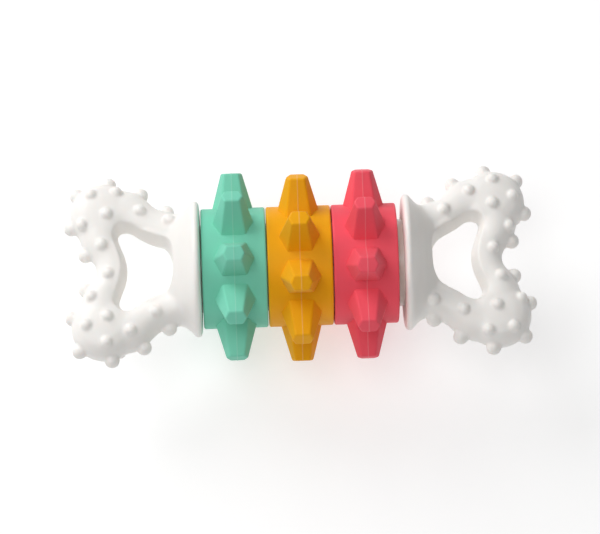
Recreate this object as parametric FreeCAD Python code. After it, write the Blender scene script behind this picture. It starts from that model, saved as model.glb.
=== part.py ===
"""Bone-shaped rattle: two nubbed loop handles on a hollow core that carries three spiked soft rings.

Frame: +X runs along the core, +Y across it in the plane of the two loops, +Z up.
The origin is the centre of the core. All lengths are in millimetres.
"""
import FreeCAD, Part
import math
import os

V = FreeCAD.Vector
X_AXIS = V(1, 0, 0)
Y_AXIS = V(0, 1, 0)
ORIGIN = V(0, 0, 0)

# ---- rings -------------------------------------------------------------------------------
RING_WIDTH = 21.4          # length of one soft ring along the core
RING_PITCH = 21.7          # from one ring's middle to the next
RING_R = 20.0              # outside of the plain ring body
RING_BORE_R = 16.55        # runs on the liner
RING_EDGE = 0.7            # rounding of the ring's outer rims
SPIKE_COUNT = 9
SPIKE_TIP_R = 31.7         # tip face, from the core's axis
SPIKE_BASE = (6.85, 4.0, 5.3)   # where a spike leaves the ring: half across corners, half edge, half depth
SPIKE_TIP = (3.6, 2.4, 2.5)     # the same at the tip face
SPIKE_EDGE = 0.6           # rounding of a spike's edges
RINGS = (("green", -1, -13.0), ("yellow", 0, -32.0), ("pink", 1, -22.5))   # name, place, turn

# ---- liner bushes ------------------------------------------------------------------------
LINER_BORE_R = 14.57
LINER_R = 16.5
LINER_LENGTH = 21.0
LINER_RIB_R = 17.6         # the rib runs in a groove inside the soft ring
LINER_RIB_WIDTH = 6.0
RIB_PLAY = 0.3             # the groove is this much wider at each side of the rib
RIB_GAP = 0.05             # and this much deeper

# ---- core, caps, seals and beads -----------------------------------------------------------
CORE_R = 14.5
CORE_BORE_R = 12.5
CORE_INTO_HANDLE = 2.4     # how far each end of the tube enters its handle
CAP_LENGTH = 4.0
CAP_INNER_X = 24.0         # inner face of each chamber cap
CAP_GAP = 0.05
SEAL_R = 1.0               # thickness radius of an O-ring
SEAL_SQUEEZE = 0.1
BEAD_R = 3.4
BEAD_COUNT = 5
BEAD_PITCH = 9.4
BEAD_PLAY = 0.15           # between a bead and the chamber wall

# ---- handles -----------------------------------------------------------------------------
LEFT_FACE = 32.8           # flange face of the left handle, from the origin
RIGHT_FACE = 34.4          # flange face of the right handle
LEFT_HOLE_SHIFT = -1.0     # the neck end of each hole, from where HOLE_NECK puts it
RIGHT_HOLE_SHIFT = 1.1
FLANGE_R = 22.9
FLANGE_EDGE = 1.1          # rounding of the flange's rim
FLANGE_THICK = 2.4         # the round disc; the neck flares out behind it
LOBE_X = 65.2
LOBE_Y = 20.2
LOBE_R = 11.1              # seen from above
LOBE_RIM_R = 5.9           # rounding of a lobe's rim
LOBE_TOP = 6.6             # half a lobe's thickness at its middle
FILL_HALF = 5.4            # half the thickness of the web beside the hole
HOLE_DEPTH = 14.0          # the hole's cutter reaches this far each way along Z
WALL_SLOPE = 2.6           # how far the hole opens out from its middle to each face
SLOPE_TOP = 7.2            # height above mid-thickness where it stops opening out
RIM_NUB_R = 2.5
RIM_NUB_SINK = -0.4        # how deep a rim nub's centre lies under the surface
FACE_NUB_R = 2.1
FACE_NUB_SINK = 0.5
NUB_SEARCH = 40.0          # longer than from any limb's middle to its surface
NUB_FOLLOW = 0.5           # how much the face nubs follow the neck end of the hole
HUB_R = 14.5
HUB_SPIGOT_R = 12.45
HUB_SPIGOT_LENGTH = 7.0
HUB_STEM_R = 4.5
HUB_DISC = 2.0
HUB_STEM = 1.6

# Neck of a handle: (distance out from the flange face, half height in Y, half thickness in Z)
NECK_SECTIONS = (
    (1.6, 22.4, 22.3),
    (4.6, 20.4, 17.2),
    (7.2, 19.3, 12.0),
    (11.0, 17.4, 5.6),
)
# Arm from the neck to a lobe: two straight round tubes side by side, the second further out
ARM_R = 6.1
ARM_RUNS = (((38.0, 11.2), (57.0, 20.3)), ((49.6, 17.4), (61.5, 24.8)))
# Outer bar between the lobes: a round bar bent in towards the core
BAR_R = 6.1
BAR_MIDDLE_X = 62.0
BAR_BEND_R = 15.5
BAR_BEND = 84.0            # degrees of bend from end to end
# Upper half of the hole at mid-thickness, from the neck to the bar; the neck end can be moved
HOLE_NECK = ((43.0, 0.0), (43.2, 4.4), (45.2, 7.7))
HOLE_LOOP = (
    (49.5, 9.4), (53.0, 11.4), (56.0, 13.5), (58.6, 13.9),
    (60.2, 12.0), (59.3, 8.6), (57.9, 4.7), (57.2, 0.0),
)

# Nubs around the rim of the loop: (x, y, heading outwards in degrees)
RIM_NUBS = (
    (44.5, 14.3, 96.0),
    (56.2, 21.0, 121.5),
    (LOBE_X, LOBE_Y, 101.0),
    (LOBE_X, LOBE_Y, 42.0),
    (LOBE_X, LOBE_Y, -21.0),
    (63.8, 8.8, -19.0),
)
# Nubs on the upper face of a handle: (x, y); the lower face is the same turned over about X
FACE_NUBS = (
    (65.1, 26.7), (57.0, 22.8), (48.4, 16.5), (71.5, 20.6), (64.6, 17.9), (69.7, 10.3), (64.1, 2.4),
    (66.1, -7.9), (72.4, -15.7), (64.2, -18.6), (69.3, -25.9), (61.0, -26.9), (53.1, -19.6), (43.5, -15.8),
)


def cylinder(radius, start_x, end_x):
    return Part.makeCylinder(radius, end_x - start_x, V(start_x, 0, 0), X_AXIS)


def tube(outer_r, inner_r, start_x, end_x):
    return cylinder(outer_r, start_x, end_x).cut(cylinder(inner_r, start_x - 1, end_x + 1))


def section(centre, along, half_width, half_thickness):
    """Elliptical wire across the direction along; its thickness is along Z."""
    sideways = V(0, 0, 1).cross(along)
    wide = half_width >= half_thickness
    major = half_width if wide else half_thickness
    minor = half_thickness if wide else half_width
    toward_major = sideways if wide else V(0, 0, 1)
    toward_minor = V(0, 0, 1) if wide else sideways
    ellipse = Part.Ellipse(centre + toward_major * major, centre + toward_minor * minor, centre)
    return Part.Wire([ellipse.toShape()])


def loft(wires):
    return Part.makeLoft(wires, True, False)


def arm_limbs():
    """The two tubes of the upper arm."""
    tubes = []
    for near, far in ARM_RUNS:
        start = V(near[0], near[1], 0)
        run = V(far[0], far[1], 0) - start
        tubes.append(Part.makeCylinder(ARM_R, run.Length, start, run))
    return tubes


def lobe():
    """Flattened ball of the upper lobe: a round rim that runs smoothly into two shallow domes."""
    rim_x = LOBE_R - LOBE_RIM_R
    rise = LOBE_TOP - LOBE_RIM_R
    dome_depth = (rim_x ** 2 - rise ** 2) / (2 * rise)
    dome_r = LOBE_TOP + dome_depth
    lean = math.atan2(rim_x, dome_depth)
    middle = (math.pi / 2 + lean) / 2
    join = V(rim_x + LOBE_RIM_R * math.sin(lean), 0, LOBE_RIM_R * math.cos(lean))
    on_rim = V(rim_x + LOBE_RIM_R * math.sin(middle), 0, LOBE_RIM_R * math.cos(middle))
    on_dome = V(dome_r * math.sin(lean / 2), 0, dome_r * math.cos(lean / 2) - dome_depth)
    rim = Part.Arc(V(LOBE_R, 0, 0), on_rim, join).toShape()
    dome = Part.Arc(join, on_dome, V(0, 0, LOBE_TOP)).toShape()
    axis = Part.LineSegment(V(0, 0, LOBE_TOP), ORIGIN).toShape()
    floor = Part.LineSegment(ORIGIN, V(LOBE_R, 0, 0)).toShape()
    upper = Part.Face(Part.Wire([rim, dome, axis, floor])).revolve(ORIGIN, V(0, 0, 1), 360)
    ball = upper.fuse(upper.mirror(ORIGIN, V(0, 0, 1))).removeSplitter()
    ball.translate(V(LOBE_X, LOBE_Y, 0))
    return ball


def outer_bar():
    """Bent bar between the two lobes; its bend opens outwards."""
    bend_centre = V(BAR_MIDDLE_X + BAR_BEND_R, 0, 0)
    profile = Part.Wire([Part.Circle(V(BAR_MIDDLE_X, 0, 0), Y_AXIS, BAR_R).toShape()])
    bar = Part.Face(profile).revolve(bend_centre, V(0, 0, 1), BAR_BEND)
    bar.rotate(bend_centre, V(0, 0, 1), -BAR_BEND / 2)
    return bar


def closed_curve(points, z):
    curve = Part.BSplineCurve()
    curve.interpolate([V(x, y, z) for x, y in points], PeriodicFlag=True)
    return Part.Wire([curve.toShape()])


def spread(points, distance):
    """Move each point of a closed outline outwards, square to the line between its neighbours."""
    moved = []
    count = len(points)
    for i in range(count):
        before = points[i - 1]
        after = points[(i + 1) % count]
        run_x = after[0] - before[0]
        run_y = after[1] - before[1]
        length = math.hypot(run_x, run_y)
        x = points[i][0] + distance * run_y / length
        y = points[i][1] - distance * run_x / length
        moved.append((x, y))
    return moved


def hole_outline(neck_shift):
    upper = [(x + neck_shift, y) for x, y in HOLE_NECK] + list(HOLE_LOOP)
    lower = [(x, -y) for x, y in upper[-2:0:-1]]
    return (upper + lower)[::-1]


def hole_cutter(neck_shift):
    """The loop's hole: narrowest at mid-thickness, opening out towards both faces."""
    middle = hole_outline(neck_shift)
    opened = spread(middle, WALL_SLOPE)
    neck_side = HOLE_LOOP[0][0] - 1
    opened = [(max(x, old[0]) if old[0] < neck_side else x, y) for (x, y), old in zip(opened, middle)]
    halves = []
    for side in (1, -1):
        wires = [closed_curve(middle, 0), closed_curve(opened, side * SLOPE_TOP)]
        wires.append(closed_curve(opened, side * HOLE_DEPTH))
        halves.append(Part.makeLoft(wires, True, True))
    return halves[0].fuse(halves[1])


def filling():
    """Plain slab between the limbs, so that the hole's own walls bound the opening."""
    corners = [V(40, -13, -FILL_HALF), V(52, -17, -FILL_HALF), V(62, -20, -FILL_HALF)]
    corners += [V(62, 20, -FILL_HALF), V(52, 17, -FILL_HALF), V(40, 13, -FILL_HALF)]
    outline = Part.makePolygon(corners + corners[:1])
    return Part.Face(outline).extrude(V(0, 0, 2 * FILL_HALF))


def reach(body, start, direction):
    """How far along direction a straight line from start leaves the body, or 0 if it misses."""
    line = Part.makeLine(start, start + direction * NUB_SEARCH)
    inside = line.common(body)
    if not inside.Edges:
        return 0.0
    return max((vertex.Point - start).dot(direction) for vertex in inside.Vertexes)


def nub_lines(neck_shift):
    """Start, outward direction, radius and sink of every nub: round the rim, then on both faces."""
    lines = []
    for x, y, heading in RIM_NUBS:
        for side in (1, -1):
            angle = math.radians(heading * side)
            outward = V(math.cos(angle), math.sin(angle), 0)
            lines.append((V(x, y * side, 0), outward, RIM_NUB_R, RIM_NUB_SINK))
    for x, y in FACE_NUBS:
        for face in (1, -1):
            start = V(x + neck_shift * NUB_FOLLOW, y * face, 0)
            lines.append((start, V(0, 0, face), FACE_NUB_R, FACE_NUB_SINK))
    return lines


def with_nubs(limbs, neck_shift):
    """Add each nub to whichever limb stands furthest out along the nub's line."""
    balls = [[] for _ in limbs]
    for start, direction, radius, sink in nub_lines(neck_shift):
        distances = [reach(piece, start, direction) for piece in limbs]
        furthest = max(distances)
        centre = start + direction * (furthest - sink)
        balls[distances.index(furthest)].append(Part.makeSphere(radius, centre))
    return [piece.multiFuse(found) if found else piece for piece, found in zip(limbs, balls)]


def flange(face_x):
    disc = cylinder(FLANGE_R, face_x, face_x + FLANGE_THICK)
    rims = [edge for edge in disc.Edges if edge.Closed]
    return disc.makeFillet(FLANGE_EDGE, rims)


def neck(face_x):
    wires = []
    for out, half_y, half_z in NECK_SECTIONS:
        wires.append(section(V(face_x + out, 0, 0), X_AXIS, half_y, half_z))
    return loft(wires)


def mirrored(shape):
    return shape.mirror(ORIGIN, Y_AXIS)


def handle(face_x, neck_shift):
    """Handle on the +X side, with its flange face at face_x."""
    upper = [lobe()] + arm_limbs()
    lower = [mirrored(piece) for piece in upper]
    limbs = with_nubs([outer_bar()] + upper + lower, neck_shift)
    body = limbs[0]
    for piece in limbs[1:] + [filling(), neck(face_x), flange(face_x)]:
        body = body.fuse(piece)
    body = body.cut(hole_cutter(neck_shift))
    return body.cut(hub_solid(face_x)).cut(core_socket(face_x))


def hub_solid(face_x):
    """Hard insert: spigot in the core tube, disc behind it, stem in the neck."""
    disc_x = face_x + CORE_INTO_HANDLE
    spigot = cylinder(HUB_SPIGOT_R, disc_x - HUB_SPIGOT_LENGTH, disc_x)
    disc = cylinder(HUB_R, disc_x, disc_x + HUB_DISC)
    stem = cylinder(HUB_STEM_R, disc_x + HUB_DISC, disc_x + HUB_DISC + HUB_STEM)
    return spigot.fuse(disc).fuse(stem)


def core_socket(face_x):
    return cylinder(CORE_R, face_x - 1, face_x + CORE_INTO_HANDLE)


def turned_to_left(shape):
    copy = shape.copy()
    copy.rotate(ORIGIN, V(0, 0, 1), 180)
    return copy


def spike():
    """Six-sided blunt pyramid along +Z with two corners along X, from inside the ring."""
    root_r = RING_R - 2.2
    wires = []
    for height in (root_r, SPIKE_TIP_R):
        share = (height - RING_R) / (SPIKE_TIP_R - RING_R)
        corner, edge, depth = [base + share * (tip - base) for base, tip in zip(SPIKE_BASE, SPIKE_TIP)]
        outline = [(corner, 0), (edge, depth), (-edge, depth), (-corner, 0), (-edge, -depth), (edge, -depth)]
        points = [V(x, y, height) for x, y in outline]
        wires.append(Part.makePolygon(points + points[:1]))
    solid = Part.makeLoft(wires, True, True)
    edges = []
    for edge in solid.Edges:
        lowest = min(vertex.Point.z for vertex in edge.Vertexes)
        highest = max(vertex.Point.z for vertex in edge.Vertexes)
        if highest > SPIKE_TIP_R - 0.01 or highest - lowest > 1:
            edges.append(edge)
    return solid.makeFillet(SPIKE_EDGE, edges)


def soft_ring(centre_x, turn):
    body = cylinder(RING_R, centre_x - RING_WIDTH / 2, centre_x + RING_WIDTH / 2)
    rims = [edge for edge in body.Edges if len(edge.Vertexes) == 1 and edge.Closed]
    body = body.makeFillet(RING_EDGE, rims)
    spikes = []
    for i in range(SPIKE_COUNT):
        one = spike()
        one.translate(V(centre_x, 0, 0))
        one.rotate(ORIGIN, X_AXIS, -turn + i * 360.0 / SPIKE_COUNT)
        spikes.append(one)
    body = body.multiFuse(spikes)
    bore = cylinder(RING_BORE_R, centre_x - RING_WIDTH, centre_x + RING_WIDTH)
    groove_half = LINER_RIB_WIDTH / 2 + RIB_PLAY
    groove = cylinder(LINER_RIB_R + RIB_GAP, centre_x - groove_half, centre_x + groove_half)
    return body.cut(bore).cut(groove)


def liner(centre_x):
    half = LINER_LENGTH / 2
    rib_half = LINER_RIB_WIDTH / 2
    shell = cylinder(LINER_R, centre_x - half, centre_x + half)
    rib = cylinder(LINER_RIB_R, centre_x - rib_half, centre_x + rib_half)
    bore = cylinder(LINER_BORE_R, centre_x - half - 1, centre_x + half + 1)
    return shell.fuse(rib).cut(bore)


def seal_ring(inner_x):
    centre_x = inner_x + CAP_LENGTH / 2
    middle_r = CORE_BORE_R - SEAL_R + SEAL_SQUEEZE
    return Part.makeTorus(middle_r, SEAL_R, V(centre_x, 0, 0), X_AXIS)


def chamber_cap(inner_x):
    disc = cylinder(CORE_BORE_R - CAP_GAP, inner_x, inner_x + CAP_LENGTH)
    return disc.cut(seal_groove(inner_x))


def seal_groove(inner_x):
    centre_x = inner_x + CAP_LENGTH / 2
    floor_r = CORE_BORE_R + SEAL_SQUEEZE - 2 * SEAL_R
    return tube(CORE_R, floor_r, centre_x - SEAL_R * 1.15, centre_x + SEAL_R * 1.15)


def build():
    right = handle(RIGHT_FACE, RIGHT_HOLE_SHIFT)
    left = turned_to_left(handle(LEFT_FACE, LEFT_HOLE_SHIFT))
    parts = {"left_handle": left, "right_handle": right}
    parts["left_hub"] = turned_to_left(hub_solid(LEFT_FACE))
    parts["right_hub"] = hub_solid(RIGHT_FACE)
    start_x = -LEFT_FACE - CORE_INTO_HANDLE
    end_x = RIGHT_FACE + CORE_INTO_HANDLE
    parts["core_tube"] = tube(CORE_R, CORE_BORE_R, start_x, end_x)
    parts["left_chamber_cap"] = turned_to_left(chamber_cap(CAP_INNER_X))
    parts["right_chamber_cap"] = chamber_cap(CAP_INNER_X)
    parts["left_cap_seal"] = turned_to_left(seal_ring(CAP_INNER_X))
    parts["right_cap_seal"] = seal_ring(CAP_INNER_X)
    for colour, place, turn in RINGS:
        centre_x = place * RING_PITCH
        parts[colour + "_ring"] = soft_ring(centre_x, turn)
        parts[colour + "_liner"] = liner(centre_x)
    for i in range(BEAD_COUNT):
        x = (i - (BEAD_COUNT - 1) / 2) * BEAD_PITCH
        height = -(CORE_BORE_R - BEAD_R - BEAD_PLAY)
        parts["rattle_bead_%d" % (i + 1)] = Part.makeSphere(BEAD_R, V(x, 0, height))
    return parts


def main():
    os.makedirs("parts", exist_ok=True)
    for name, shape in build().items():
        solids = shape.Solids
        box = shape.BoundBox
        print(name, len(solids), shape.isValid(), round(shape.Volume, 1),
              "x %.2f %.2f y %.2f %.2f z %.2f %.2f"
              % (box.XMin, box.XMax, box.YMin, box.YMax, box.ZMin, box.ZMax))
        shape.exportStep("parts/%s.step" % name)


main()
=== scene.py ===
"""Looks for a bone-shaped rattle: two nubbed loop handles and three spiked soft rings on a core."""
import math

import bmesh
import bpy
from bpy.props import FloatProperty, FloatVectorProperty, IntProperty, PointerProperty
from mathutils import Matrix, Vector
from mathutils.bvhtree import BVHTree


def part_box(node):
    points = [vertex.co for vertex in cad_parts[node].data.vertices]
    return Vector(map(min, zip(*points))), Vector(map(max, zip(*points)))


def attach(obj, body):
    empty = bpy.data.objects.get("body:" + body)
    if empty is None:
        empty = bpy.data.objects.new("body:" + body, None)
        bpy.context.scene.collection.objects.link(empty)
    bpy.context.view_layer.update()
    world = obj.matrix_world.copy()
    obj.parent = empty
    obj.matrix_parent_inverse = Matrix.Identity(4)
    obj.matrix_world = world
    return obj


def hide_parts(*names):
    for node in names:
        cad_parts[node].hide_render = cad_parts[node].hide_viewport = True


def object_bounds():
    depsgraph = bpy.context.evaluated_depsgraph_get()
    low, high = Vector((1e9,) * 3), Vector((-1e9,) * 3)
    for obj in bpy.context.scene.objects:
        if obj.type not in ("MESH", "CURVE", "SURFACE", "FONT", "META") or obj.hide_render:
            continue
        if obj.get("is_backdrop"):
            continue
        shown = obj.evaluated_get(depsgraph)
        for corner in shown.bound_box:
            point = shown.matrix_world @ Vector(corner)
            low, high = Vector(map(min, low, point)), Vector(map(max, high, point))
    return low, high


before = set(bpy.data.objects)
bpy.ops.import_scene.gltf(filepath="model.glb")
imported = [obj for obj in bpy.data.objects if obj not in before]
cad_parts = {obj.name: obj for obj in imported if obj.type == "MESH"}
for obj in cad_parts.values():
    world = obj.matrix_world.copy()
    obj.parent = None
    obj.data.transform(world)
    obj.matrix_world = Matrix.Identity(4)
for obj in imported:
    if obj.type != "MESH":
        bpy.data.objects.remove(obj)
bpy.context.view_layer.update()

bl_info = {
    "name": "Bone Rattle",
    "version": (1, 0, 0),
    "blender": (4, 5, 0),
    "location": "View3D > Sidebar > Rattle",
    "description": "Builds the handles, the spiked rings, their finishes and the studio",
    "category": "Object",
}

MM = 0.001

# ---- handle, in millimetres: the one on the +X side, with its broad faces along the XY plane --------

# Arm sections above the XZ plane: (x, y, heading in degrees, half width, half thickness)
ARM = (
    (36.0, 12.6, 2, 6.3, 8.2),
    (44.5, 14.1, 12, 6.2, 6.6),
    (50.6, 16.8, 32, 6.1, 6.2),
    (57.0, 20.6, 24, 7.9, 6.3),
    (65.2, 20.6, 0, 9.2, 6.4),
)
# Upper half of the end bar, in the same terms; the lower half mirrors it
BAR_TOP = (
    (62.3, 3.2, 82, 5.8, 6.0),
    (65.6, 9.6, 80, 6.6, 6.2),
    (65.8, 18.2, 94, 8.9, 6.4),
)
# Neck sections: (distance out from the flange face, half height, half thickness)
NECK = (
    (0.0, 20.9, 20.9),
    (0.15, 21.8, 21.8),
    (0.7, 22.6, 22.6),
    (1.5, 22.95, 22.95),
    (2.3, 22.7, 22.5),
    (3.2, 21.7, 20.6),
    (4.6, 20.4, 17.2),
    (7.2, 19.3, 12.2),
    (11.0, 17.6, 7.4),
    (15.0, 16.0, 6.0),
)
# Lobe slices above mid-thickness: (height, share of the lobe's radius); those below mirror them
LOBE_TOP = ((0.0, 1.0), (1.6, 0.985), (3.4, 0.92), (5.3, 0.74), (6.3, 0.5), (6.7, 0.25), (6.8, 0.05))
LOBE_X, LOBE_Y = 65.2, 20.2
WEB_X = 50.5                 # middle of the web between the arms, which the hole is cut from
WEB_SIZE = (21, 25, 11.6)
LIMB_STEPS = 4               # sections from one of ARM or BAR_TOP to the next
LIMB_SEGMENTS = 40           # faces round an arm, the bar or a lobe
NECK_SEGMENTS = 96

# Upper half of the hole at mid-thickness; the neck points move with the neck
HOLE_NECK = ((43.0, 0.0), (43.2, 4.4), (45.2, 7.7))
HOLE_LOOP = (
    (49.5, 9.4), (53.0, 11.4), (56.0, 13.5), (58.6, 13.9),
    (60.2, 12.0), (59.3, 8.6), (57.9, 4.7), (57.2, 0.0),
)
HOLE_SHIFT = {"right_handle": 1.1, "left_handle": -1.0}   # the neck points' move away from the core
HOLE_NECK_SIDE = HOLE_LOOP[0][0] - 1                      # the hole doesn't open towards the neck here
HOLE_STEPS = 5               # points from one of the outline's to the next
HOLE_REACH = 25              # half the height of the tool that cuts the hole

# Nubs round the rim (x, y, heading outwards in degrees) and on the broad faces (x, y)
RIM_NUBS = (
    (44.5, 14.3, 96.0), (56.2, 21.0, 121.5), (LOBE_X, LOBE_Y, 101.0),
    (LOBE_X, LOBE_Y, 42.0), (LOBE_X, LOBE_Y, -21.0), (63.8, 8.8, -19.0),
)
FACE_NUBS = (
    (65.1, 26.7), (57.0, 22.8), (48.4, 16.5), (71.5, 20.6), (64.6, 17.9), (69.7, 10.3), (64.1, 2.4),
    (66.1, -7.9), (72.4, -15.7), (64.2, -18.6), (69.3, -25.9), (61.0, -26.9), (53.1, -19.6), (43.5, -15.8),
)
NUB_FOLLOW = 0.5             # share of the hole's shift that the face nubs make too
NUB_SIGHT = 40               # length of the line that looks back for the surface under a nub
NUB_SUBDIVISIONS = 4

# Pocket for the end of the core tube and the hub's disc; nothing is cut for the hub's short stem
POCKET_R = 14.5
HUB_STEM = 1.6               # length of the stem, past the pocket's floor
POCKET_LEAD = 2              # the cut starts this far outside the flange face
POCKET_SEGMENTS = 128

ROUGH_GRAIN = 1.25           # grain of the plain handle, before the nubs, as a share of the finished one's
ROUGH_ROUNDS = 14            # smoothing rounds that melt the limbs together
NUB_ROUNDS = 5               # smoothing rounds that soften the nubs' feet

# ---- rings, in millimetres and degrees ---------------------------------------------------------------

RINGS = (("green", -13.0), ("yellow", -32.0), ("pink", -22.5))   # colour, turn of the first spike
RING_STEPS = 192             # faces round a ring
RIM_R = 0.7                  # rounding of a ring's outer edges
RIM_STEPS = 5                # faces across that rounding
SPIKE_SUNK = 2.2             # how far a spike starts under the ring's surface
SPIKE_BEVEL_STEPS = 3
LINE_HALF = 0.22             # half the width of the raised parting line
LINE_DEPTH = 0.5             # the line's points lie no deeper than this under the plain ring's surface
LINE_HIGHLIGHT_WHITE = 0.25            # share of white in the painted highlight along the parting line
SHARP_EDGE = 32              # edges that turn more than this stay crisp

# ---- studio, in metres ---------------------------------------------------------------------------------

FLOOR_HALF = 4               # half the floor's side
AIR_LIGHT = 0.24             # strength of the white light from all round
LAMPS = (("key", (-0.50, 0.55, 0.50), 0.6, 4.9), ("fill", (-0.30, -0.25, 1.1), 0.9, 5.6))   # width, watts
SENSOR_MM, LENS_MM = 36, 216
FRAME_SHIFT = (1 / 1200, -1 / 600)   # shares of the frame's width
CAMERA_REACH = 20


def linear(code):
    """Linear RGBA of an sRGB hex colour."""
    values = [int(code[i:i + 2], 16) / 255 for i in (1, 3, 5)]
    return [v / 12.92 if v <= 0.04045 else ((v + 0.055) / 1.055) ** 2.4 for v in values] + [1.0]


def colour_prop(name, description, code):
    """A colour setting with an sRGB hex default."""
    return FloatVectorProperty(name=name, description=description, subtype="COLOR", size=4,
                               min=0, max=1, default=linear(code))


class RattleHandleSettings(bpy.types.PropertyGroup):
    """Sizes and colour of the two handles"""
    lobe_radius: FloatProperty(name="Lobe radius", description="Radius of a lobe seen from above, in mm",
                               default=11.1, min=8, max=14)
    rim_nub: FloatProperty(name="Rim nub radius", description="Radius of a nub on the rim, in mm",
                           default=2.55, min=1, max=4)
    rim_sink: FloatProperty(name="Rim nub sink", description="Depth of its centre under the surface, in mm",
                            default=-0.4, min=-1, max=2)
    face_nub: FloatProperty(name="Face nub radius", description="Radius of a nub on a broad face, in mm",
                            default=2.05, min=1, max=4)
    face_sink: FloatProperty(name="Face nub sink", description="Depth of its centre under the surface, in mm",
                             default=0.5, min=-1, max=2)
    wall_slope: FloatProperty(name="Wall slope", description="How far the hole opens out to each face, in mm",
                              default=2.6, min=0, max=5)
    slope_top: FloatProperty(name="Slope top", description="Height where the hole stops opening out, in mm",
                             default=7.2, min=3, max=12)
    grain: FloatProperty(name="Mesh grain", description="Size of the handle's finished faces, in mm",
                         default=0.42, min=0.3, max=2)
    colour: colour_prop("Colour", "Colour of the handles", "#F3F0EC")


class RattleRingSettings(bpy.types.PropertyGroup):
    """Sizes and colours of the three rings"""
    spikes: IntProperty(name="Spikes", description="Spikes round one ring", default=9, min=3, max=12)
    body_radius: FloatProperty(name="Body radius", description="Outside of the plain ring, in mm",
                               default=20.0, min=18, max=25)
    bore_radius: FloatProperty(name="Bore radius", description="Inside of the ring, in mm",
                               default=16.55, min=15, max=18)
    groove_radius: FloatProperty(name="Groove radius", description="Groove for the liner's rib, in mm",
                                 default=17.65, min=16, max=19)
    groove_half: FloatProperty(name="Groove half width", description="Half the groove's width, in mm",
                               default=3.3, min=1, max=6)
    tip_radius: FloatProperty(name="Tip radius", description="Spike tips from the axis, in mm",
                              default=31.58, min=24, max=36)
    base: FloatVectorProperty(name="Spike base", size=3, default=(6.85, 4.0, 5.3),
                              description="Half across corners, half edge and half depth at the ring, in mm")
    tip: FloatVectorProperty(name="Spike tip", size=3, default=(3.6, 2.4, 2.5),
                             description="Half across corners, half edge and half depth at the tip, in mm")
    edge: FloatProperty(name="Spike edge", description="Rounding of a spike's tip edges, in mm",
                        default=0.6, min=0.1, max=1.5)
    flash: FloatProperty(name="Parting line", description="Height of the moulding line, in mm",
                         default=0.12, min=0, max=0.5)
    green: colour_prop("Green", "Colour of the green ring", "#7BD1B6")
    yellow: colour_prop("Yellow", "Colour of the yellow ring", "#F0A800")
    pink: colour_prop("Pink", "Colour of the pink ring", "#F25666")


class RattleInnerSettings(bpy.types.PropertyGroup):
    """Colours of the parts under the rings and in the core"""
    core: colour_prop("Core", "Colour of the core tube", "#F6EEE4")
    hard: colour_prop("Hard parts", "Colour of the liners, hubs and caps", "#E4E2DC")
    seal: colour_prop("Seals", "Colour of the cap seals", "#232323")
    bead: colour_prop("Beads", "Colour of the rattle beads", "#E07A3A")


class RattleStageSettings(bpy.types.PropertyGroup):
    """The floor and the camera"""
    floor: colour_prop("Floor", "Colour of the floor", "#C4C4C4")
    glow: FloatProperty(name="Floor glow", description="Light from the backlit floor", default=0.55, min=0)
    tip: FloatProperty(name="Camera tip", description="Camera's lean from straight above",
                       default=math.radians(22.0), subtype="ANGLE")
    roll: FloatProperty(name="Camera roll", description="Turn of the picture",
                        default=math.radians(2.35), subtype="ANGLE")
    yaw: FloatProperty(name="Camera yaw", description="Camera's turn to the side",
                       default=math.radians(1.0), subtype="ANGLE")
    distance: FloatProperty(name="Camera distance", description="From the core's centre",
                            default=1.2, unit="LENGTH")


# ---- mesh helpers -----------------------------------------------------------------------------

def eased(points, steps, closed):
    """Points on a smooth run (Catmull-Rom) through the given ones, with each gap cut into steps."""
    count = len(points)
    last = count if closed else count - 1
    found = []
    for i in range(last):
        places = range(i - 1, i + 3)
        near = [points[p % count] if closed else points[min(max(p, 0), count - 1)] for p in places]
        for s in range(steps):
            t = s / steps
            a = -0.5 * t + t * t - 0.5 * t ** 3
            b = 1 - 2.5 * t * t + 1.5 * t ** 3
            c = 0.5 * t + 2 * t * t - 1.5 * t ** 3
            d = -0.5 * t * t + 0.5 * t ** 3
            found.append(tuple(a * p + b * q + c * r + d * w for p, q, r, w in zip(*near)))
    return found if closed else found + [tuple(points[-1])]


def skin(bm, placements, segments=LIMB_SEGMENTS):
    """Bridge unit circles put at each placement into one closed skin."""
    last = len(placements) - 1
    before = None
    for i, placement in enumerate(placements):
        made = bmesh.ops.create_circle(bm, cap_ends=i in (0, last), segments=segments, radius=1,
                                       matrix=placement)
        edges = {e for v in made["verts"] for e in v.link_edges if all(w in made["verts"] for w in e.verts)}
        loop = [e for e in edges if len(e.link_faces) <= 1]
        if before:
            bmesh.ops.bridge_loops(bm, edges=before + loop)
        before = loop


def across(x, y, heading, half_width, half_thickness):
    """Placement of an elliptical section of a limb that runs along its heading in the XY plane."""
    turn = Matrix.Rotation(math.radians(heading), 4, "Z") @ Matrix.Rotation(math.radians(90), 4, "Y")
    return Matrix.Translation((x, y, 0)) @ turn @ Matrix.Diagonal((half_thickness, half_width, 1, 1))


def spread(points, distance):
    """Move each point of a closed outline outwards, square to the line between its neighbours."""
    moved = []
    for i, (x, y) in enumerate(points):
        run = Vector(points[(i + 1) % len(points)]) - Vector(points[i - 1])
        run.normalize()
        moved.append((x + distance * run.y, y - distance * run.x))
    return moved


def object_from(bm, name, outward=True):
    """A scene object that holds the bmesh, with its faces turned outwards where it is closed."""
    if outward:
        bmesh.ops.recalc_face_normals(bm, faces=bm.faces[:])
    mesh = bpy.data.meshes.new(name)
    bm.to_mesh(mesh)
    bm.free()
    piece = bpy.data.objects.new(name, mesh)
    bpy.context.scene.collection.objects.link(piece)
    return piece


def settle(piece):
    """Put the modifiers' result into the piece's mesh."""
    depsgraph = bpy.context.evaluated_depsgraph_get()
    mesh = bpy.data.meshes.new_from_object(piece.evaluated_get(depsgraph))
    piece.modifiers.clear()
    old = piece.data
    piece.data = mesh
    bpy.data.meshes.remove(old)
    mesh.name = piece.name


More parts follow.
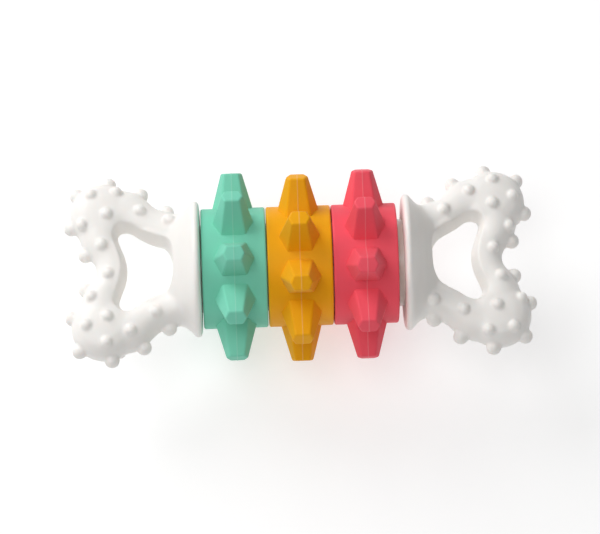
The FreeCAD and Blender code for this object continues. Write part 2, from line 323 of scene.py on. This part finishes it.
def remesh(piece, grain, rounds):
    """Even faces of one size, then rounds of light smoothing that round every crease."""
    grid = piece.modifiers.new("Grain", "REMESH")
    grid.mode = "VOXEL"
    grid.voxel_size = grain
    grid.adaptivity = 0
    soft = piece.modifiers.new("Soften", "SMOOTH")
    soft.factor = 0.5
    soft.iterations = rounds
    settle(piece)


def carve(piece, tool, operation):
    """Join the tool to the piece or cut it away, and remove the tool."""
    cut = piece.modifiers.new("Carve", "BOOLEAN")
    cut.operation = operation
    cut.solver = "EXACT"
    cut.object = tool
    settle(piece)
    bpy.data.objects.remove(tool)


def lathe(bm, profile, steps):
    """Spin a closed (x, radius) profile round the X axis."""
    verts = [bm.verts.new((x, 0, r)) for x, r in profile]
    edges = [bm.edges.new((verts[i - 1], verts[i])) for i in range(len(verts))]
    bmesh.ops.spin(bm, geom=verts + edges, cent=(0, 0, 0), axis=(1, 0, 0), angle=2 * math.pi,
                   steps=steps, use_merge=True, use_duplicate=False)
    bmesh.ops.remove_doubles(bm, verts=bm.verts[:], dist=1e-5)


def finish_piece(piece, body, node, material):
    """Bring a piece from millimetres to metres, colour it, and let it stand in for its CAD node."""
    piece.data.transform(Matrix.Scale(MM, 4))
    piece.data.materials.clear()
    piece.data.materials.append(material)
    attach(piece, body)
    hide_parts(node)


# ---- materials --------------------------------------------------------------------------------

def add_node(tree, kind, values=None, links=None, **settings):
    """One node with its settings, its input values and what feeds its inputs."""
    node = tree.nodes.new(kind)
    for key, value in settings.items():
        setattr(node, key, value)
    for key, value in (values or {}).items():
        node.inputs[key].default_value = value
    for key, source in (links or {}).items():
        tree.links.new(source, node.inputs[key])
    return node


def new_finish(name):
    """An empty node material and its tree."""
    material = bpy.data.materials.new(name)
    material.use_nodes = True
    tree = material.node_tree
    tree.nodes.clear()
    return material, tree


def scaled(colour, factor):
    """The colour made darker or lighter, still opaque."""
    return [c * factor for c in colour[:3]] + [1.0]


def moulded(name, colour, roughness, grain_mm, grain_depth, subsurface, cloud_mm=9.0, cloud=0.05,
            highlight_x=None, highlight_colour=None, coat=0.0, sheen=0.0, specular=0.5):
    """A moulded plastic or rubber: cloudy pigment, a fine eroded grain and some light inside.

    Each pattern's scale comes from its real size in millimetres. Given a place on X and a colour, a thin
    painted highlight of that colour runs round the part there, along the ridge at a mould's parting.
    """
    material, tree = new_finish(name)
    place = add_node(tree, "ShaderNodeTexCoord").outputs["Object"]
    clouds = add_node(tree, "ShaderNodeTexNoise", {"Scale": 1 / (cloud_mm * MM), "Detail": 2.0},
                      {"Vector": place})
    tone = add_node(tree, "ShaderNodeMix", {"A": scaled(colour, 1 - cloud), "B": scaled(colour, 1 + cloud)},
                    {"Factor": clouds.outputs["Fac"]}, data_type="RGBA").outputs["Result"]
    # Painted highlight: a thin band of paler colour along the parting ridge, where the ridge would catch the
    # light
    if highlight_x is not None:
        split = add_node(tree, "ShaderNodeSeparateXYZ", links={"Vector": place})
        off = add_node(tree, "ShaderNodeMath", {1: highlight_x}, {0: split.outputs["X"]}, operation="SUBTRACT")
        aside = add_node(tree, "ShaderNodeMath", links={0: off.outputs[0]}, operation="ABSOLUTE")
        highlight_mask = add_node(tree, "ShaderNodeMapRange",
                        {"From Min": 0.10 * MM, "From Max": 0.26 * MM, "To Min": 0.35, "To Max": 0.0},
                        {"Value": aside.outputs[0]})
        tone = add_node(tree, "ShaderNodeMix", {"B": highlight_colour},
                        {"Factor": highlight_mask.outputs["Result"], "A": tone}, data_type="RGBA").outputs["Result"]
    fine = add_node(tree, "ShaderNodeTexNoise",
                    {"Scale": 1 / (grain_mm * MM), "Detail": 3.0, "Roughness": 0.6}, {"Vector": place})
    bump = add_node(tree, "ShaderNodeBump", {"Strength": 0.35, "Distance": grain_depth * MM},
                    {"Height": fine.outputs["Fac"]})
    rough = add_node(tree, "ShaderNodeMapRange", {"To Min": roughness - 0.05, "To Max": roughness + 0.07},
                     {"Value": clouds.outputs["Fac"]})
    shader = add_node(tree, "ShaderNodeBsdfPrincipled",
                      {"IOR": 1.45, "Specular IOR Level": specular,
                       "Subsurface Weight": subsurface, "Subsurface Scale": 1.2 * MM,
                       "Subsurface Radius": (1.0, 0.8, 0.7), "Coat Weight": coat, "Coat Roughness": 0.25,
                       "Sheen Weight": sheen, "Sheen Roughness": 0.5},
                      {"Base Color": tone, "Roughness": rough.outputs["Result"],
                       "Normal": bump.outputs["Normal"]})
    add_node(tree, "ShaderNodeOutputMaterial", links={"Surface": shader.outputs["BSDF"]})
    return material


# ---- operators --------------------------------------------------------------------------------

class RATTLE_OT_handles(bpy.types.Operator):
    """Build the two nubbed loop handles"""
    bl_idname = "rattle.handles"
    bl_label = "Handles"

    def limbs(self, size, face_x):
        """The neck, the web, the arms, the lobes and the end bar, run into one another."""
        bm = bmesh.new()
        bar = [(x, -y, 180 - h, w, t) for x, y, h, w, t in BAR_TOP[::-1]] + list(BAR_TOP)
        skin(bm, [across(*s) for s in eased(bar, LIMB_STEPS, False)])
        neck = [(face_x + out, 0, 0, half_y, half_z) for out, half_y, half_z in NECK]
        skin(bm, [across(*s) for s in neck], NECK_SEGMENTS)
        slices = [(-z, share) for z, share in LOBE_TOP[:0:-1]] + list(LOBE_TOP)
        for side in (1, -1):
            arm = [(x, y * side, h * side, w, t) for x, y, h, w, t in eased(ARM, LIMB_STEPS, False)]
            skin(bm, [across(*s) for s in arm])
            lobe = []
            for z, share in slices:
                r = size.lobe_radius * share
                lobe.append(Matrix.Translation((LOBE_X, LOBE_Y * side, z)) @ Matrix.Diagonal((r, r, 1, 1)))
            skin(bm, lobe)
        web = Matrix.Translation((WEB_X, 0, 0)) @ Matrix.Diagonal((*WEB_SIZE, 1))
        bmesh.ops.create_cube(bm, size=1, matrix=web)
        return object_from(bm, "limbs")

    def hole(self, size, shift):
        """The tool for the finger hole, narrowest at mid-thickness."""
        upper = [(x + shift, y) for x, y in HOLE_NECK] + list(HOLE_LOOP)
        lower = [(x, -y) for x, y in upper[-2:0:-1]]
        middle = eased((upper + lower)[::-1], HOLE_STEPS, True)
        opened = [(max(x, old_x) if old_x < HOLE_NECK_SIDE else x, y)
                  for (x, y), (old_x, _) in zip(spread(middle, size.wall_slope), middle)]
        levels = ((-HOLE_REACH, opened), (-size.slope_top, opened), (0, middle), (size.slope_top, opened),
                  (HOLE_REACH, opened))
        bm = bmesh.new()
        loops = []
        for z, outline in levels:
            verts = [bm.verts.new((x, y, z)) for x, y in outline]
            loops.append([bm.edges.new((verts[i - 1], verts[i])) for i in range(len(verts))])
            if len(loops) > 1:
                bmesh.ops.bridge_loops(bm, edges=loops[-2] + loops[-1])
        bmesh.ops.contextual_create(bm, geom=loops[0])
        bmesh.ops.contextual_create(bm, geom=loops[-1])
        bmesh.ops.triangulate(bm, faces=[f for f in bm.faces if len(f.verts) > 4])
        return object_from(bm, "hole_tool")

    def nubs(self, piece, size, shift):
        """Add a ball at each nub's place on the surface."""
        tree = BVHTree.FromObject(piece, bpy.context.evaluated_depsgraph_get())
        lines = []
        for x, y, heading in RIM_NUBS:
            for side in (1, -1):
                a = math.radians(heading * side)
                outward = Vector((math.cos(a), math.sin(a), 0))
                lines.append((Vector((x, y * side, 0)), outward, size.rim_nub, size.rim_sink))
        for x, y in FACE_NUBS:
            for face in (1, -1):
                start = Vector((x + shift * NUB_FOLLOW, y * face, 0))
                lines.append((start, Vector((0, 0, face)), size.face_nub, size.face_sink))
        bm = bmesh.new()
        bm.from_mesh(piece.data)
        for start, direction, radius, sink in lines:
            spot = tree.ray_cast(start + direction * NUB_SIGHT, -direction)[0]
            centre = Matrix.Translation(spot - direction * sink)
            bmesh.ops.create_icosphere(bm, subdivisions=NUB_SUBDIVISIONS, radius=radius, matrix=centre)
        bm.to_mesh(piece.data)
        bm.free()

    def pocket(self, start, end):
        """The tool for the room that the core tube and the hub's disc take inside the handle."""
        bm = bmesh.new()
        place = Matrix.Translation(((start + end) / 2, 0, 0)) @ Matrix.Rotation(math.pi / 2, 4, "Y")
        bmesh.ops.create_cone(bm, cap_ends=True, segments=POCKET_SEGMENTS, radius1=POCKET_R,
                              radius2=POCKET_R, depth=end - start, matrix=place)
        return object_from(bm, "pocket_tool")

    def build(self, name, size, material):
        """One handle, made on the +X side; the left one is then turned round to the other end."""
        shift = HOLE_SHIFT[name]
        left = name.startswith("left")
        low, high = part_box(name)
        hub_low, hub_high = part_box(name.replace("handle", "hub"))
        face_x = (-high.x if left else low.x) / MM
        hub_end = (-hub_low.x if left else hub_high.x) / MM
        piece = self.limbs(size, face_x)
        piece.name = name + "_body"
        remesh(piece, size.grain * ROUGH_GRAIN, ROUGH_ROUNDS)
        carve(piece, self.hole(size, shift), "DIFFERENCE")
        self.nubs(piece, size, shift)
        remesh(piece, size.grain, NUB_ROUNDS)
        carve(piece, self.pocket(face_x - POCKET_LEAD, hub_end - HUB_STEM), "DIFFERENCE")
        if left:
            piece.data.transform(Matrix.Rotation(math.pi, 4, "Z"))
        for polygon in piece.data.polygons:
            polygon.use_smooth = True
        finish_piece(piece, "root", name, material)

    def execute(self, context):
        size = context.scene.rattle_handle
        # White thermoplastic elastomer, moulded over nylon in a satin mould: soft, wide highlights and
        # shadows that glow a little
        white = moulded("tpe_white_satin", size.colour, 0.42, 0.5, 0.02, 0.25, cloud=0.01)
        for name in HOLE_SHIFT:
            self.build(name, size, white)
        return {"FINISHED"}


class RATTLE_OT_rings(bpy.types.Operator):
    """Build the three spiked rings"""
    bl_idname = "rattle.rings"
    bl_label = "Rings"

    def body(self, size, half):
        """The plain ring with its inner groove, centred on the origin."""
        bore, groove, wide = size.bore_radius, size.groove_radius, size.groove_half
        profile = [(-half, bore), (-wide, bore), (-wide, groove), (wide, groove), (wide, bore), (half, bore)]
        step = 90 / RIM_STEPS
        for end in (1, -1):
            for k in range(RIM_STEPS + 1):
                a = math.radians(step * k if end > 0 else 90 - step * k)
                profile.append((end * (half - RIM_R + RIM_R * math.cos(a)),
                                size.body_radius - RIM_R + RIM_R * math.sin(a)))
        bm = bmesh.new()
        lathe(bm, profile, RING_STEPS)
        return object_from(bm, "ring_body")

    def spike(self, size):
        """One six-sided spike along Z, with its upper edges rounded."""
        one = bmesh.new()
        bmesh.ops.create_cone(one, cap_ends=True, cap_tris=False, segments=6, radius1=1, radius2=1,
                              depth=1)
        bmesh.ops.rotate(one, verts=one.verts[:], cent=(0, 0, 0), matrix=Matrix.Rotation(math.pi / 2, 3, "Z"))
        for v in one.verts:
            height = size.tip_radius if v.co.z > 0 else size.body_radius - SPIKE_SUNK
            share = (height - size.body_radius) / (size.tip_radius - size.body_radius)
            corner, edge, depth = [b + share * (t - b) for b, t in zip(size.base, size.tip)]
            at_corner = abs(v.co.y) < 0.1
            v.co = (math.copysign(corner if at_corner else edge, v.co.x),
                    0 if at_corner else math.copysign(depth, v.co.y), height)
        sharp = [e for e in one.edges if max(v.co.z for v in e.verts) > size.tip_radius - 0.01]
        bmesh.ops.bevel(one, geom=sharp, offset=size.edge, offset_type="OFFSET",
                        segments=SPIKE_BEVEL_STEPS, profile=0.5, affect="EDGES", material=-1,
                        clamp_overlap=True)
        return one

    def spikes(self, size, turn):
        """All of a ring's spikes, evenly round the X axis."""
        bm = bmesh.new()
        for i in range(size.spikes):
            one = self.spike(size)
            spin = Matrix.Rotation(-turn + 2 * math.pi * i / size.spikes, 4, "X")
            bmesh.ops.transform(one, verts=one.verts[:], matrix=spin)
            mesh = bpy.data.meshes.new("spike")
            one.to_mesh(mesh)
            one.free()
            bm.from_mesh(mesh)
            bpy.data.meshes.remove(mesh)
        return object_from(bm, "spike_tool")

    def parting_line(self, piece, size):
        """Raise the thread that the two halves of the mould leave round the middle."""
        bm = bmesh.new()
        bm.from_mesh(piece.data)
        for cut_x in (-LINE_HALF, 0.0, LINE_HALF):
            bmesh.ops.bisect_plane(bm, geom=bm.verts[:] + bm.edges[:] + bm.faces[:], dist=1e-4,
                                   plane_co=(cut_x, 0, 0), plane_no=(1, 0, 0))
        bm.normal_update()
        outside = size.body_radius - LINE_DEPTH
        line = [v for v in bm.verts if abs(v.co.x) < 1e-3 and math.hypot(v.co.y, v.co.z) > outside]
        for v in line:
            v.co += v.normal * size.flash
        bm.to_mesh(piece.data)
        bm.free()

    def build(self, colour, turn, size, tint):
        """One ring, made at the origin and moved along X to its place."""
        node = colour + "_ring"
        low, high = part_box(node)
        centre_x = (low.x + high.x) / 2 / MM
        piece = self.body(size, (high.x - low.x) / 2 / MM)
        piece.name = node + "_soft"
        carve(piece, self.spikes(size, math.radians(turn)), "UNION")
        self.parting_line(piece, size)
        piece.data.transform(Matrix.Translation((centre_x, 0, 0)))
        for polygon in piece.data.polygons:
            polygon.use_smooth = True
        piece.data.set_sharp_from_angle(angle=math.radians(SHARP_EDGE))
        even = piece.modifiers.new("Even normals", "WEIGHTED_NORMAL")
        even.keep_sharp = True
        # The ring's colour lightened with white, for the painted highlight along the parting ridge
        parting_highlight = [min(1.0, c * (1 - LINE_HIGHLIGHT_WHITE) + LINE_HIGHLIGHT_WHITE) for c in tint[:3]] + [1.0]
        # Silicone, moulded in two halves with a matte skin: chalky, soft highlights, and a painted highlight
        # along the parting ridge
        material = moulded("silicone_%s_matte" % colour, tint, 0.55, 0.35, 0.02, 0.12, cloud=0.03,
                           highlight_x=centre_x * MM, highlight_colour=parting_highlight, sheen=0.05, specular=0.22)
        finish_piece(piece, node, node, material)

    def execute(self, context):
        size = context.scene.rattle_ring
        for colour, turn in RINGS:
            self.build(colour, turn, size, getattr(size, colour))
        return {"FINISHED"}


class RATTLE_OT_inner(bpy.types.Operator):
    """Give the core, liners, hubs, caps, seals and beads their finishes"""
    bl_idname = "rattle.inner"
    bl_label = "Inner parts"

    def execute(self, context):
        tints = context.scene.rattle_inner
        finishes = {
            # ABS, injection-moulded in a polished mould: a clear, even gloss
            "core": moulded("abs_core_gloss", tints.core, 0.22, 1.2, 0.005, 0.1, cloud=0.015, coat=0.2),
            # Nylon, moulded in a spark-eroded mould: dull and slightly waxy
            "hard": moulded("nylon_natural_eroded", tints.hard, 0.45, 0.3, 0.01, 0.15, cloud=0.02),
            # Nitrile rubber, extruded as cord: near black with a soft bloom
            "seal": moulded("nitrile_black_seal", tints.seal, 0.6, 0.4, 0.02, 0.0, cloud=0.1, sheen=0.2),
            # ABS, moulded and tumbled: bright and even
            "bead": moulded("abs_bead_tumbled", tints.bead, 0.25, 0.6, 0.01, 0.05, cloud=0.03, coat=0.3),
        }
        kinds = (("core_tube", "core"), ("_liner", "hard"), ("_hub", "hard"), ("_chamber_cap", "hard"),
                 ("_cap_seal", "seal"), ("rattle_bead", "bead"))
        for name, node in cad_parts.items():
            for part, kind in kinds:
                if part in name:
                    for holder in node.material_slots:
                        holder.material = finishes[kind]
        return {"FINISHED"}


class RATTLE_OT_stage(bpy.types.Operator):
    """Lay the floor and set the lights and the camera"""
    bl_idname = "rattle.stage"
    bl_label = "Stage"

    def lay_floor(self, size):
        bm = bmesh.new()
        bmesh.ops.create_grid(bm, x_segments=1, y_segments=1, size=FLOOR_HALF)
        bmesh.ops.translate(bm, verts=bm.verts[:], vec=(0, 0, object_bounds()[0].z))
        floor = object_from(bm, "studio_floor", outward=False)
        # White paper, uncoated and lit from below: flat and even, and close to white all over
        material, tree = new_finish("paper_white_matt")
        shader = add_node(tree, "ShaderNodeBsdfPrincipled",
                          {"Base Color": size.floor, "Roughness": 0.9, "Specular IOR Level": 0.2,
                           "Emission Color": (1, 1, 1, 1), "Emission Strength": size.glow})
        add_node(tree, "ShaderNodeOutputMaterial", links={"Surface": shader.outputs["BSDF"]})
        floor.data.materials.append(material)
        floor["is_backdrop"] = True

    def fill_air(self, scene):
        world = bpy.data.worlds.new("studio_air")
        world.use_nodes = True
        air = world.node_tree.nodes["Background"].inputs
        air["Color"].default_value = (1, 1, 1, 1)
        air["Strength"].default_value = AIR_LIGHT
        scene.world = world

    def hang_lamp(self, name, place, width, power):
        """A round lamp that faces the rattle."""
        light = bpy.data.lights.new(name, "AREA")
        light.shape = "DISK"
        light.size = width
        light.energy = power
        lamp = bpy.data.objects.new(name, light)
        lamp.location = place
        lamp.rotation_euler = (-Vector(place)).to_track_quat("-Z", "Y").to_euler()
        bpy.context.scene.collection.objects.link(lamp)

    def set_camera(self, scene, size):
        """Look at the core's centre from above, leaning towards -Y."""
        tip, roll, yaw = size.tip, size.roll, size.yaw
        back = Vector((-math.sin(yaw) * math.cos(tip), -math.sin(tip), math.cos(yaw) * math.cos(tip)))
        up = Vector((-math.sin(yaw) * math.sin(tip), math.cos(tip), math.cos(yaw) * math.sin(tip)))
        right = Vector((math.cos(yaw), 0, math.sin(yaw)))
        camera_x = right * math.cos(roll) - up * math.sin(roll)
        camera_y = right * math.sin(roll) + up * math.cos(roll)
        data = bpy.data.cameras.new("camera")
        data.sensor_width = SENSOR_MM
        data.lens = LENS_MM
        data.clip_end = CAMERA_REACH
        data.shift_x, data.shift_y = FRAME_SHIFT
        camera = bpy.data.objects.new("camera", data)
        turned = Matrix((camera_x, camera_y, back)).transposed().to_4x4()
        camera.matrix_world = Matrix.Translation(back * size.distance) @ turned
        scene.collection.objects.link(camera)
        scene.camera = camera

    def execute(self, context):
        scene = context.scene
        size = scene.rattle_stage
        self.lay_floor(size)
        self.fill_air(scene)
        for lamp in LAMPS:
            self.hang_lamp(*lamp)
        self.set_camera(scene, size)
        scene.view_settings.view_transform = "Standard"
        return {"FINISHED"}


class RATTLE_PT_panel(bpy.types.Panel):
    """Sizes, colours and steps of the rattle"""
    bl_idname = "RATTLE_PT_panel"
    bl_label = "Bone Rattle"
    bl_space_type = "VIEW_3D"
    bl_region_type = "UI"
    bl_category = "Rattle"

    def draw(self, context):
        steps = (("rattle.handles", "rattle_handle"), ("rattle.rings", "rattle_ring"),
                 ("rattle.inner", "rattle_inner"), ("rattle.stage", "rattle_stage"))
        for operator, group in steps:
            box = self.layout.box()
            settings = getattr(context.scene, group)
            for name in settings.bl_rna.properties.keys():
                if name not in ("rna_type", "name"):
                    box.prop(settings, name)
            box.operator(operator)


GROUPS = {
    "rattle_handle": RattleHandleSettings,
    "rattle_ring": RattleRingSettings,
    "rattle_inner": RattleInnerSettings,
    "rattle_stage": RattleStageSettings,
}
CLASSES = (*GROUPS.values(), RATTLE_OT_handles, RATTLE_OT_rings, RATTLE_OT_inner, RATTLE_OT_stage,
           RATTLE_PT_panel)


def register():
    for item in CLASSES:
        bpy.utils.register_class(item)
    for name, group in GROUPS.items():
        setattr(bpy.types.Scene, name, PointerProperty(type=group))


def unregister():
    for name in GROUPS:
        delattr(bpy.types.Scene, name)
    for item in reversed(CLASSES):
        bpy.utils.unregister_class(item)


def main():
    register()
    bpy.ops.rattle.handles()
    bpy.ops.rattle.rings()
    bpy.ops.rattle.inner()
    bpy.ops.rattle.stage()


if __name__ == "__main__":
    main()
